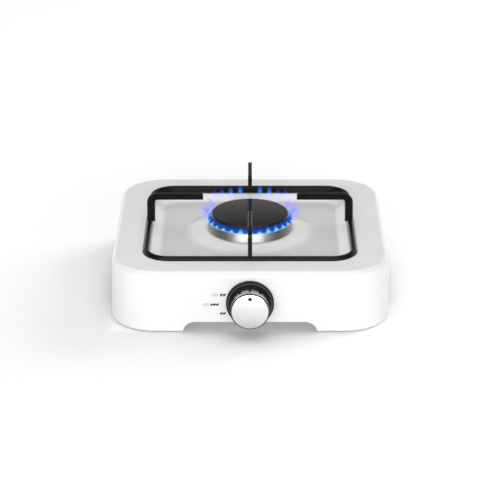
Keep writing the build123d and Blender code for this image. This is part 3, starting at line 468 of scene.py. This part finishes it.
# helpers for pieces built as closed meshes
def joinLoops(body, loops):
    for loop, after in zip(loops, loops[1:]):
        for side in range(len(loop)):
            beside = (side + 1) % len(loop)
            body.faces.new((loop[side], loop[beside], after[beside], after[side]))


def closeEnds(body, loops):
    body.faces.new(loops[0][::-1])
    body.faces.new(loops[-1])


def meshFrom(name, body):
    bmesh.ops.recalc_face_normals(body, faces=body.faces)
    mesh = bpy.data.meshes.new(name)
    body.to_mesh(mesh)
    body.free()
    return mesh


def addPiece(name, mesh, material, body):
    piece = bpy.data.objects.new(name, mesh)
    scene.collection.objects.link(piece)
    mesh.materials.clear()
    mesh.materials.append(material)
    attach(piece, body)
    return piece


# printed marks left of the knob: words, and drops for the flame's size
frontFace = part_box("body_shell")[0].y
printInk = {
    "depth": 0.00012, "sunk": 0.00005, "fleck": (2200.0, 3.0), "rough": (0.35, 0.5),
    "surface": {"Specular IOR Level": 0.3},
}
printedWords = {
    "height": 0.0031, "capitalShare": 0.7, "weld": 1e-6,
    "places": {"OFF": (-0.0370, 0.0431), "ON": (-0.0462, 0.0321)},
    "shades": ((0.26, 0.26, 0.27, 1.0), (0.34, 0.34, 0.35, 1.0)),
}
printedDrops = {
    "height": 0.0032, "width": 0.0039, "slant": 0.55, "points": 22, "tipPower": 1.2,
    "places": [
        (-0.0304, 0.0432), (-0.0272, 0.0432),
        (-0.0405, 0.0320), (-0.0375, 0.0320), (-0.0345, 0.0320),
        (-0.0305, 0.0217), (-0.0273, 0.0217),
    ],
    "shades": ((0.006, 0.006, 0.007, 1.0), (0.016, 0.016, 0.017, 1.0)),
}


def makeInk(name, shades):
    material, tree, shader = startFinish(name, printInk["surface"])
    fleck = grain(tree, place(tree), *printInk["fleck"])
    feed(tree, shader.inputs["Base Color"], tint(tree, fleck, *shades))
    feed(tree, shader.inputs["Roughness"], spread(tree, fleck, *printInk["rough"]))
    return material


def printWord(word, centre, material):
    text = bpy.data.curves.new("text" + word, "FONT")
    text.body = word
    text.align_x, text.align_y = "CENTER", "CENTER"
    text.size = printedWords["height"] / printedWords["capitalShare"]
    text.extrude = printInk["depth"] / 2
    letters = bpy.data.objects.new("letters" + word, text)
    scene.collection.objects.link(letters)
    mesh = bpy.data.meshes.new_from_object(letters.evaluated_get(bpy.context.evaluated_depsgraph_get()))
    bpy.data.objects.remove(letters)
    body = bmesh.new()
    body.from_mesh(mesh)
    bmesh.ops.remove_doubles(body, verts=body.verts, dist=printedWords["weld"])
    middle = frontFace + printInk["sunk"] - printInk["depth"] / 2
    for point in body.verts:  # stand the flat letters on the front face
        x, z, proud = point.co
        point.co = (centre[0] + x, middle - proud, centre[1] + z)
    body.to_mesh(mesh)
    body.free()
    addPiece("mark_" + word.lower(), mesh, material, "stove")


def printDrops(material):
    look = printedDrops
    body = bmesh.new()
    back = frontFace + printInk["sunk"]
    for x, z in look["places"]:
        outline = []
        for step in range(look["points"]):
            turn = 2 * math.pi * step / look["points"]
            up = math.cos(turn) * look["height"] / 2
            wide = math.sin(turn) * math.sin(turn / 2) ** look["tipPower"] * look["width"] / 2
            outline.append(body.verts.new((x + wide - look["slant"] * up, back, z - up)))
        face = body.faces.new(outline)
        raised = bmesh.ops.extrude_face_region(body, geom=[face])["geom"]
        for point in (part for part in raised if isinstance(part, bmesh.types.BMVert)):
            point.co.y -= printInk["depth"]
    addPiece("mark_flames", meshFrom("flameMarks", body), material, "stove")


wordInk = makeInk("wordInk", printedWords["shades"])
for word, centre in printedWords["places"].items():
    printWord(word, centre, wordInk)
printDrops(makeInk("markInk", printedDrops["shades"]))
print("marks printed beside the knob")


# thread ridge on the stub of the gas inlet
inletThread = {
    "radius": 0.00658, "pitch": 0.00134, "halfBase": 0.00056, "proud": 0.00026, "sunk": 0.00010,
    "length": 0.0147, "endGap": 0.0013, "stepsPerTurn": 30, "runOut": 10,
}


def cutThread(material):
    look = inletThread
    low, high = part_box("gas_inlet")
    centreX, centreZ = (low.x + high.x) / 2, (low.z + high.z) / 2
    count = int(look["length"] / look["pitch"] * look["stepsPerTurn"])
    foot = look["radius"] - look["sunk"]
    ridge = bmesh.new()
    loops = []
    for step in range(count + 1):
        turn = 2 * math.pi * step / look["stepsPerTurn"]
        y = high.y - look["endGap"] - look["pitch"] * step / look["stepsPerTurn"]
        # the ridge grows out of the stub at one end and dies away at the other
        fade = min(1.0, step / look["runOut"], (count - step) / look["runOut"])
        crest = look["radius"] - look["sunk"] / 2 + (look["proud"] + look["sunk"] / 2) * fade
        loop = []
        for along, radius in ((-look["halfBase"], foot), (0.0, crest), (look["halfBase"], foot)):
            spot = (centreX + radius * math.cos(turn), y + along, centreZ + radius * math.sin(turn))
            loop.append(ridge.verts.new(spot))
        loops.append(loop)
    joinLoops(ridge, loops)
    closeEnds(ridge, loops)
    addPiece("inlet_thread", meshFrom("inletThread", ridge), material, "stove")


cutThread(finishes["tap_brass"])
print("thread cut on the gas inlet")


# return spring of the tap, which shortens as the knob goes in; here it is wound at its rest length
returnSpring = {"wireRadius": 0.0004, "turns": 3, "stepsPerTurn": 28, "sides": 10, "travel": 0.0025}


def windSpring(material):
    look = returnSpring
    wire = look["wireRadius"]
    low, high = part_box("tap_spring")
    coilRadius = (high.x - low.x) / 2 - wire
    length = high.y - low.y - 2 * wire
    start = Vector(((low.x + high.x) / 2, low.y + wire, (low.z + high.z) / 2))
    rise = length / (2 * math.pi * look["turns"])
    count = look["turns"] * look["stepsPerTurn"]
    coil = bmesh.new()
    loops = []
    for step in range(count + 1):
        turn = 2 * math.pi * step / look["stepsPerTurn"]
        outward = Vector((math.cos(turn), 0.0, math.sin(turn)))
        heading = Vector((-coilRadius * math.sin(turn), rise, coilRadius * math.cos(turn))).normalized()
        across = heading.cross(outward)
        spot = start + outward * coilRadius + Vector((0.0, length * step / count, 0.0))
        loop = []
        for side in range(look["sides"]):
            way = 2 * math.pi * side / look["sides"]
            offset = outward * math.cos(way) + across * math.sin(way)
            loop.append(coil.verts.new(spot + offset * wire))
        loops.append(loop)
    joinLoops(coil, loops)
    for face in coil.faces:
        face.smooth = True
    closeEnds(coil, loops)
    spring = addPiece("return_spring", meshFrom("returnSpring", coil), material, "knob")
    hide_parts("tap_spring")
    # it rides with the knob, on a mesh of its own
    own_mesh(spring)


windSpring(finishes["bright_steel"])
print("return spring wound in the tap")


# gas flames: tongues behind the cap, jets, haze at the sides and a veil along the ports
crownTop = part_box("burner_crown")[1].z
flamePorts = {"count": 28, "radius": 0.0428, "seed": 11, "fingers": 4}
flameGlow = {"wisp": (260.0, 2.0), "flicker": (0.9, 1.12)}


def makeFlameGlow():
    material, tree, surface = startBare("gasFlame")
    hue = addNode(tree, "Attribute", attribute_name="flameHue").outputs
    wisp = grain(tree, place(tree), *flameGlow["wisp"])
    cover = sums(tree, "MULTIPLY", hue["Alpha"], spread(tree, wisp, *flameGlow["flicker"]))
    mix = addNode(tree, "MixShader", {"Fac": cover})
    feed(tree, mix.inputs[1], addNode(tree, "BsdfTransparent").outputs["BSDF"])
    feed(tree, mix.inputs[2], addNode(tree, "Emission", {"Color": hue["Color"]}).outputs["Emission"])
    feed(tree, surface, mix.outputs["Shader"])
    return material


def hueAlong(stops, run):
    # a stop is the run along the flame, its glow and its cover
    for (start, glow, cover), (end, nextGlow, nextCover) in zip(stops, stops[1:]):
        if run <= end:
            share = (run - start) / (end - start)
            return Vector((*glow, cover)).lerp(Vector((*nextGlow, nextCover)), share)
    return Vector((*stops[-1][1], stops[-1][2]))


# tongues and jets: one flame body, drawn out long or short
# from: how far behind a port has to lie to burn, as a sine; front: height in front, where the rear is 1
flameBody = {
    "rings": 10, "sides": 12, "lookAhead": 0.02, "innerTip": 0.55, "reachPower": 2, "risePower": 1.5,
    "heights": (0.94, 1.06), "lean": 0.0006,
}
blueTongues = {
    "skins": (1.0, 0.6), "from": 0.55, "reach": 0.0075, "rise": 0.0165, "drop": 0.0020,
    "half": 0.0034, "flat": 0.9, "taper": 0.5, "front": 2.2, "underFinger": 0.35,
    "full": 0.95, "greenLeft": 0.30, "coverLeft": 0.70,
    "stops": [
        (0.0, (0.25, 0.40, 2.6), 0.010), (0.58, (0.25, 0.45, 2.8), 0.016),
        (0.72, (0.13, 1.7, 6.4), 0.044), (0.86, (0.13, 1.1, 6.0), 0.040),
        (1.0, (0.30, 0.55, 5.0), 0.022),
    ],
}
portJets = {
    "skins": (1.0,), "from": -1.0, "reach": 0.0046, "rise": 0.0010, "drop": 0.0030,
    "half": 0.0021, "flat": 0.45, "taper": 0.7, "front": 0.9, "underFinger": 0.9,
    "stops": [
        (0.0, (0.02, 0.18, 0.9), 0.15), (0.5, (0.15, 0.62, 1.1), 0.38), (1.0, (0.55, 0.92, 1.05), 0.45),
    ],
}


def addTongue(body, hueLayer, look, angle, height, lean, skin):
    outward = Vector((math.cos(angle), math.sin(angle), 0.0))
    sideways = Vector((-outward.y, outward.x, 0.0))
    # blue straight behind the cap, violet and fainter towards the sides
    full = min(1.0, (outward.y - look["from"]) / (look["full"] - look["from"])) if "full" in look else 1.0

    def hue(run):
        shade = hueAlong(look["stops"], run)
        if full < 1.0:
            shade[1] *= look["greenLeft"] + (1.0 - look["greenLeft"]) * full
            shade[3] *= look["coverLeft"] + (1.0 - look["coverLeft"]) * full
        return shade

    def spine(run):
        reach = look["reach"] * height * (1.0 - (1.0 - run) ** flameBody["reachPower"])
        rise = look["rise"] * height * run ** flameBody["risePower"]
        base = outward * (flamePorts["radius"] + reach) + sideways * lean * run
        return base + Vector((0.0, 0.0, crownTop - look["drop"] + rise))

    loops = []
    tipRun = flameBody["innerTip"] + (1.0 - flameBody["innerTip"]) * skin  # inner skins end lower
    for ring in range(flameBody["rings"]):
        run = math.sin(math.pi / 2 * ring / flameBody["rings"])
        here = spine(tipRun * run)
        ahead = (spine(tipRun * run + flameBody["lookAhead"]) - here).normalized()
        across = sideways.cross(ahead).normalized()
        swell = look["half"] * skin * math.sqrt(1.0 - run ** 2) ** look["taper"]
        loop = []
        for side in range(flameBody["sides"]):
            turn = 2 * math.pi * side / flameBody["sides"]
            offset = sideways * math.cos(turn) + across * math.sin(turn) * look["flat"]
            point = body.verts.new(here + offset * swell)
            point[hueLayer] = hue(tipRun * run)
            loop.append(point)
        loops.append(loop)
    tip = body.verts.new(spine(tipRun))
    tip[hueLayer] = hue(tipRun)
    body.faces.new(loops[0][::-1])
    joinLoops(body, loops)
    for point, beside in zip(loops[-1], loops[-1][1:] + loops[-1][:1]):
        body.faces.new((point, beside, tip))


def burnTongues(body, hueLayer, look):
    rng = random.Random(flamePorts["seed"])
    for port in range(flamePorts["count"]):
        angle = math.pi / 2 + 2 * math.pi * port / flamePorts["count"]
        behind = (1.0 + math.sin(angle)) / 2
        height = look["front"] + (1.0 - look["front"]) * math.sqrt(behind)
        if port % (flamePorts["count"] // flamePorts["fingers"]) == 0:
            height *= look["underFinger"]  # kept low under the pan fingers
        height *= rng.uniform(*flameBody["heights"])
        lean = rng.uniform(-flameBody["lean"], flameBody["lean"])
        if math.sin(angle) < look["from"]:
            continue
        for skin in look["skins"]:
            addTongue(body, hueLayer, look, angle, height, lean, skin)


# lilac haze beside the cap, made of thin crossed petals
lilacHaze = {
    "ports": (-0.6, 0.4, 1.4, 2.4), "rows": 12, "columns": 8, "thick": 0.0003, "lookAhead": 0.02,
    "reach": 0.0125, "rise": 0.0150, "drop": 0.0022, "sizes": (0.8, 1.05),
    "reachPower": 1.6, "risePower": 1.3, "fadePower": 1.2,
    # the half width follows a stretch of a half wave, over a share that is always left
    "half": 0.0068, "halfLeft": 0.15, "waveFrom": 0.1, "waveSpan": 0.85,
    "stops": [
        (0.0, (0.06, 0.38, 1.4), 0.14), (0.25, (0.22, 0.34, 1.4), 0.15),
        (0.65, (0.38, 0.37, 1.25), 0.13), (1.0, (0.45, 0.43, 1.2), 0.0),
    ],
}


def addPetal(body, hueLayer, look, angle, size, upright):
    # one soft wisp: a thin closed sheet that clears towards its edges
    outward = Vector((math.cos(angle), math.sin(angle), 0.0))
    sideways = Vector((-outward.y, outward.x, 0.0))

    def spine(run):
        reach = look["reach"] * size * (1.0 - (1.0 - run) ** look["reachPower"])
        rise = look["rise"] * size * run ** look["risePower"] - look["drop"]
        return outward * (flamePorts["radius"] + reach) + Vector((0.0, 0.0, crownTop + rise))

    loops = []
    for row in range(look["rows"] + 1):
        run = row / look["rows"]
        ahead = spine(min(1.0, run + look["lookAhead"])) - spine(max(0.0, run - look["lookAhead"]))
        across = sideways.cross(ahead.normalized())
        wide, thin = (across, sideways) if upright else (sideways, across)
        wave = math.sin(math.pi * (look["waveFrom"] + look["waveSpan"] * run))
        half = look["half"] * size * (look["halfLeft"] + (1.0 - look["halfLeft"]) * wave)
        front, back = [], []
        for column in range(look["columns"] + 1):
            share = 2 * column / look["columns"] - 1
            hue = hueAlong(look["stops"], run)
            hue[3] *= (1.0 - share ** 2) ** look["fadePower"]
            for side, offset in ((front, look["thick"] / 2), (back, -look["thick"] / 2)):
                point = body.verts.new(spine(run) + wide * half * share + thin * offset)
                point[hueLayer] = hue
                side.append(point)
        loops.append(front + back[::-1])
    joinLoops(body, loops)
    closeEnds(body, loops)


def burnHaze(body, hueLayer, look):
    rng = random.Random(flamePorts["seed"])
    for port in look["ports"]:
        off = 2 * math.pi * port / flamePorts["count"]
        for angle in (off, math.pi - off):
            size = rng.uniform(*look["sizes"])
            for upright in (True, False):
                addPetal(body, hueLayer, look, angle, size, upright)


# deep blue veil between the ledge of the crown and the cap, with a bright foot at each port
blueVeil = {
    "steps": 224, "jetTop": 0.36, "between": 0.14, "heights": (1.1, 2.3), "lobePower": 1.5,
    "tallFrom": 0.5,
    # radius, height over the crown's top, and run from ledge to cap
    "section": [
        (0.0437, -0.0035, 0.0), (0.0466, -0.0036, 0.0), (0.0472, -0.0041, 0.0), (0.0469, -0.0030, 0.15),
        (0.0463, -0.0021, 0.3), (0.0457, -0.0012, 0.45), (0.0451, -0.0002, 0.6), (0.0446, 0.0010, 0.75),
        (0.0442, 0.0022, 0.9), (0.0438, 0.0034, 1.0), (0.0434, 0.0034, 1.0), (0.0434, 0.0004, 0.7),
    ],
    "stops": [
        (0.0, (0.22, 0.68, 1.0), 0.86), (0.18, (0.14, 0.52, 0.95), 0.94),
        (0.36, (0.012, 0.07, 0.44), 0.97), (0.65, (0.010, 0.055, 0.38), 0.95),
        (0.8, (0.008, 0.03, 0.22), 0.82), (1.0, (0.008, 0.02, 0.12), 0.0),
    ],
}


def burnVeil(body, hueLayer, look):
    rng = random.Random(flamePorts["seed"])
    heights = [rng.uniform(*look["heights"]) for port in range(flamePorts["count"])]
    loops = []
    for step in range(look["steps"]):
        turn = 2 * math.pi * step / look["steps"]
        port = flamePorts["count"] * (turn / (2 * math.pi) - 0.25)  # port 0 is straight behind
        lobe = (0.5 + 0.5 * math.cos(2 * math.pi * port)) ** look["lobePower"]
        bright = look["jetTop"] * (look["between"] + lobe * heights[round(port) % flamePorts["count"]])
        # only in front does it lick over the cap's rim
        tall = min(1.0, max(0.0, look["tallFrom"] - math.sin(turn)))
        loop = []
        for radius, height, run in look["section"]:
            high = crownTop + (height if height < 0.0 else height * tall)
            point = body.verts.new((radius * math.cos(turn), radius * math.sin(turn), high))
            # the bright foot reaches higher at each port
            if run <= bright:
                run *= look["jetTop"] / bright
            else:
                run = 1.0 - (1.0 - run) * (1.0 - look["jetTop"]) / (1.0 - bright)
            point[hueLayer] = hueAlong(look["stops"], run)
            loop.append(point)
        loops.append(loop)
    joinLoops(body, loops + loops[:1])


def lightFlame(name, burn, look, material):
    body = bmesh.new()
    burn(body, body.verts.layers.float_color.new("flameHue"), look)
    for face in body.faces:
        face.smooth = True
    piece = addPiece("flame_" + name, meshFrom(name, body), material, "burner_crown")
    piece.visible_diffuse = piece.visible_glossy = piece.visible_shadow = False


gasFlame = makeFlameGlow()
lightFlame("tongue", burnTongues, blueTongues, gasFlame)
lightFlame("jet", burnTongues, portJets, gasFlame)
lightFlame("haze", burnHaze, lilacHaze, gasFlame)
lightFlame("veil", burnVeil, blueVeil, gasFlame)
print("flames lit at", flamePorts["count"], "ports")


# studio: white surroundings, pale floor, four soft lamps and the camera
surroundings = {
    "ambient": 0.42,
    # what gloss sees round the horizon, from straight behind the stove to straight in front
    "horizon": [
        (0.0, 0.5), (0.03, 1.0), (0.08, 1.0), (0.12, 0.8), (0.28, 0.8), (0.42, 0.07), (0.68, 0.07),
        (0.85, 1.0), (1.0, 1.0),
    ],
    "overheadShare": 0.15, "overheadSpan": (0.2, 0.6),
}


def seenDirectly(tree):
    path = addNode(tree, "LightPath").outputs
    first = sums(tree, "MAXIMUM", path["Is Camera Ray"], path["Is Glossy Ray"])
    return sums(tree, "MAXIMUM", first, path["Is Transmission Ray"])


def buildSurroundings():
    look = surroundings
    world = bpy.data.worlds.new("studioWorld")
    scene.world = world
    world.use_nodes = True
    tree = world.node_tree
    way = splitAxes(tree, addNode(tree, "TexCoord").outputs["Generated"])
    flat = addNode(tree, "CombineXYZ", {"X": way["X"], "Y": way["Y"]}).outputs["Vector"]
    ahead = splitAxes(tree, vectors(tree, "NORMALIZE", flat))["Y"]
    horizon = addNode(tree, "ValToRGB", {"Fac": spread(tree, ahead, 1.0, 0.0, -1.0, 1.0)})
    ramp = horizon.color_ramp
    while len(ramp.elements) < len(look["horizon"]):
        ramp.elements.new(0.5)
    for element, (spot, shade) in zip(ramp.elements, look["horizon"]):
        element.position = spot
        element.color = grey(shade)
    dim = spread(tree, way["Z"], 1.0, look["overheadShare"], *look["overheadSpan"])
    sky = mixShades(tree, dim, grey(0.0), horizon.outputs["Color"])
    glossy = addNode(tree, "LightPath").outputs["Is Glossy Ray"]
    background = tree.nodes["Background"]
    feed(tree, background.inputs["Color"], mixShades(tree, glossy, grey(1.0), sky))
    level = spread(tree, seenDirectly(tree), look["ambient"], 1.0, 0.0, 1.0)
    feed(tree, background.inputs["Strength"], level)


floorLook = {
    "size": 14.0, "squares": 4, "shades": (0.95, 0.97), "cloud": (3.0, 2.0),
    # glow that is added where the floor is seen: least beside the stove, a painted shade that deepens the
    # shadow there, more far off, and under it, a painted light that lightens its shadow there
    "liftNear": 0.05, "liftFar": 0.13, "liftSpan": (0.18, 0.50),
    "liftUnder": 0.12, "underShares": (0.96, 1.03),
}


def buildFloor():
    look = floorLook
    plane = bmesh.new()
    squares = look["squares"]
    bmesh.ops.create_grid(plane, x_segments=squares, y_segments=squares, size=look["size"] / 2)
    mesh = bpy.data.meshes.new("studioFloor")
    plane.to_mesh(mesh)
    plane.free()
    floor = bpy.data.objects.new("studioFloor", mesh)
    scene.collection.objects.link(floor)
    material, tree, surface = startBare("paleFloor")
    coords = place(tree)
    pale, bright = look["shades"]
    colour = tint(tree, grain(tree, coords, *look["cloud"]), grey(pale), grey(bright))
    distance = vectors(tree, "LENGTH", coords)
    # painted shade: less glow beside the stove deepens its shadow
    farLift = spread(tree, distance, look["liftNear"], look["liftFar"], *look["liftSpan"])
    axes = splitAxes(tree, coords)
    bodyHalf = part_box("body_shell")[1]
    shareX = sums(tree, "DIVIDE", sums(tree, "ABSOLUTE", axes["X"]), bodyHalf.x)
    shareY = sums(tree, "DIVIDE", sums(tree, "ABSOLUTE", axes["Y"]), bodyHalf.y)
    reach = sums(tree, "MAXIMUM", shareX, shareY)
    # painted light: glow under the stove lightens its shadow there
    underLift = spread(tree, reach, look["liftUnder"], 0.0, *look["underShares"])
    lift = sums(tree, "MULTIPLY", seenDirectly(tree), sums(tree, "ADD", farLift, underLift))
    both = addNode(tree, "AddShader")
    feed(tree, both.inputs[0], addNode(tree, "BsdfDiffuse", {"Color": colour}).outputs["BSDF"])
    glow = addNode(tree, "Emission", {"Color": grey(1.0), "Strength": lift})
    feed(tree, both.inputs[1], glow.outputs["Emission"])
    feed(tree, surface, both.outputs["Shader"])
    mesh.materials.append(material)
    return floor


lampTarget = Vector((0.0, 0.0, 0.05))
lamps = {
    "frontLamp": {"at": (-0.1, -3.4, 0.8), "size": (5.0, 1.1), "power": 80.0},
    "topLamp": {"at": (0.0, 0.2, 2.6), "size": (2.4, 2.4), "power": 22.0},
    # one lamp draws the shadow on the floor, and one from above takes its place on the stove
    "sideLamp": {"at": (2.95, 2.13, 2.1), "size": (2.3, 2.3), "power": 74.0, "floor": "INCLUDE"},
    "overLamp": {"at": (0.0, 0.2, 2.6), "size": (2.4, 2.4), "power": 27.0, "floor": "EXCLUDE"},
}


def hangLamps(floor):
    for name, look in lamps.items():
        lamp = bpy.data.lights.new(name, "AREA")
        lamp.shape = "RECTANGLE"
        lamp.size, lamp.size_y = look["size"]
        lamp.energy = look["power"]
        holder = bpy.data.objects.new(name, lamp)
        holder.location = look["at"]
        holder.rotation_euler = (lampTarget - holder.location).to_track_quat("-Z", "Y").to_euler()
        scene.collection.objects.link(holder)
        if "floor" in look:
            lit = bpy.data.collections.new(name + "Lit")
            lit.objects.link(floor)
            lit.collection_objects[0].light_linking.link_state = look["floor"]
            holder.light_linking.receiver_collection = lit


photoCamera = {"at": (0.0, -2.0329, 0.8966), "tilt": 67.05, "lens": 141.5, "sensor": 36.0}


def standCamera():
    camera = bpy.data.cameras.new("photoCamera")
    camera.lens = photoCamera["lens"]
    camera.sensor_width = photoCamera["sensor"]
    holder = bpy.data.objects.new("photoCamera", camera)
    holder.location = photoCamera["at"]
    holder.rotation_euler = (math.radians(photoCamera["tilt"]), 0.0, 0.0)
    scene.collection.objects.link(holder)
    scene.camera = holder


buildSurroundings()
hangLamps(buildFloor())
standCamera()
print("studio and camera in place")
